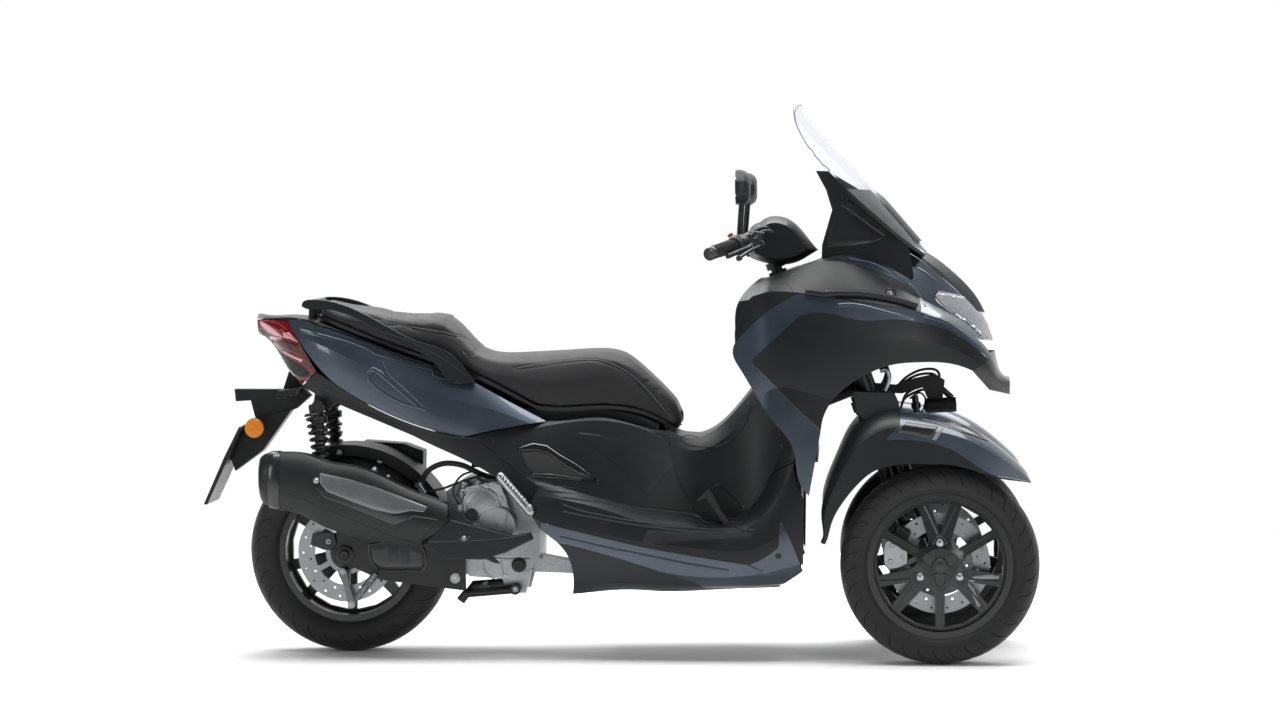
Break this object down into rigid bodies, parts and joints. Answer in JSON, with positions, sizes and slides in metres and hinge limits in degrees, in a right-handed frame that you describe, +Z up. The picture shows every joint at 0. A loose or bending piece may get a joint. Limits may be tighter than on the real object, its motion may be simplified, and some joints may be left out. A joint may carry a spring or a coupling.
{
  "type": "motorized trike",
  "caption": "Leaning three-wheeled scooter with paired steered front wheels, step-through body, opening seat over a storage tub, screen, and side silencer.",
  "frame": {"origin": "on the floor in the centre plane, half-way between the tip of the plate holder and the front of the front tyres", "axes": "+X forward, +Y to the rider's left, +Z up"},
  "size_m": [2.2494, 0.844, 1.4795],
  "materials": {
    "body_paint": "satin metallic dark slate blue",
    "dark_trim": "fine-grained black plastic",
    "grey_trim": "dark grey moulded plastic",
    "lamp_lens": "clear moulded lens",
    "red_lens": "red moulded lens",
    "amber_lens": "amber moulded lens",
    "clear_screen": "clear acrylic sheet",
    "black_steel": "black powder coat",
    "engine_alloy": "cast and machined alloy",
    "silver_alloy": "die-cast silver alloy",
    "wheel_paint": "satin black cast wheel",
    "disc_steel": "ground brake steel",
    "silencer": "heat-resistant dark paint",
    "grip_rubber": "ribbed rubber",
    "tyre": "moulded tyre rubber",
    "seat_cover": "grained seat vinyl"
  },
  "bodies": {
    "chassis": {"nose_trim": "body_paint", "dash_top": "dark_trim", "nose_cowl": "body_paint", "recess_panels": "dark_trim", "headlamps": "lamp_lens", "side_trims": "dark_trim", "side_cowls": "body_paint", "nose_tip": "dark_trim", "side_covers": "body_paint", "tunnel_cover": "dark_trim", "floor_boards": "dark_trim", "sill_panels": "body_paint", "belly_pan": "grey_trim", "tail_panels": "body_paint", "tail_trims": "grey_trim", "tail_lamp": "red_lens", "tail_deck": "dark_trim", "leg_shield": "dark_trim", "splash_guard": "dark_trim", "seat_tub": "dark_trim", "tilt_linkage": "black_steel", "frame": "black_steel", "engine": "engine_alloy", "drive_case": "engine_alloy", "swing_arm": "black_steel", "rear_caliper": "silver_alloy", "rear_shocks": "black_steel", "rear_hugger": "dark_trim", "exhaust": "silencer", "exhaust_cover": "dark_trim", "windscreen": "clear_screen", "screen_support": "dark_trim", "instrument": "dark_trim", "passenger_pegs": "silver_alloy", "brake_pedal": "black_steel", "grab_rail": "dark_trim", "plate_holder": "dark_trim", "rear_indicators": "amber_lens"},
    "bars": {"handlebar": "black_steel", "grips": "grip_rubber", "bar_cover": "dark_trim", "mirrors": "dark_trim"},
    "seat_lid": {"seat": "seat_cover", "seat_base": "dark_trim"},
    "stand": {"centre_stand": "black_steel"},
    "steer_right": {"knuckle_right": "black_steel", "mudguard_right": "body_paint", "mudguard_flank_right": "dark_trim"},
    "steer_left": {"knuckle_left": "black_steel", "mudguard_left": "body_paint", "mudguard_flank_left": "dark_trim"},
    "wheel_right": {"front_tyre_right": "tyre", "front_rim_right": "wheel_paint", "front_disc_right": "disc_steel"},
    "wheel_left": {"front_tyre_left": "tyre", "front_rim_left": "wheel_paint", "front_disc_left": "disc_steel"},
    "wheel_rear": {"rear_tyre": "tyre", "rear_rim": "wheel_paint", "rear_disc": "disc_steel"}
  },
  "joints": [
    {"name": "steering", "type": "hinge", "parent": "chassis", "child": "bars", "pos_m": [0.418, 0, 1.075], "axis": [-0.342, 0, 0.9397], "range_deg": [-30, 30]},
    {"name": "knuckle_turn_right", "type": "hinge", "parent": "chassis", "child": "steer_right", "pos_m": [0.65911, -0.148, 0.747], "axis": [-0.342, 0, 0.9397], "range_deg": [-30, 30]},
    {"name": "knuckle_turn_left", "type": "hinge", "parent": "chassis", "child": "steer_left", "pos_m": [0.65911, 0.148, 0.747], "axis": [-0.342, 0, 0.9397], "range_deg": [-30, 30]},
    {"name": "front_wheel_roll_right", "type": "hinge", "parent": "steer_right", "child": "wheel_right", "pos_m": [0.863, -0.235, 0.262], "axis": [0, 1, 0], "continuous": true},
    {"name": "front_wheel_roll_left", "type": "hinge", "parent": "steer_left", "child": "wheel_left", "pos_m": [0.863, 0.235, 0.262], "axis": [0, 1, 0], "continuous": true},
    {"name": "rear_wheel_roll", "type": "hinge", "parent": "chassis", "child": "wheel_rear", "pos_m": [-0.732, 0, 0.276], "axis": [0, 1, 0], "continuous": true},
    {"name": "seat_open", "type": "hinge", "parent": "chassis", "child": "seat_lid", "pos_m": [0.1628, 0, 0.63362], "axis": [0, 1, 0], "range_deg": [0, 65]},
    {"name": "stand_swing", "type": "hinge", "parent": "chassis", "child": "stand", "pos_m": [-0.27264, 0, 0.17888], "axis": [0, -1, 0], "range_deg": [0, 80]}
  ],
  "couplings": [
    {"joint": "knuckle_turn_right", "follows": "steering", "ratio": 1},
    {"joint": "knuckle_turn_left", "follows": "steering", "ratio": 1}
  ]
}
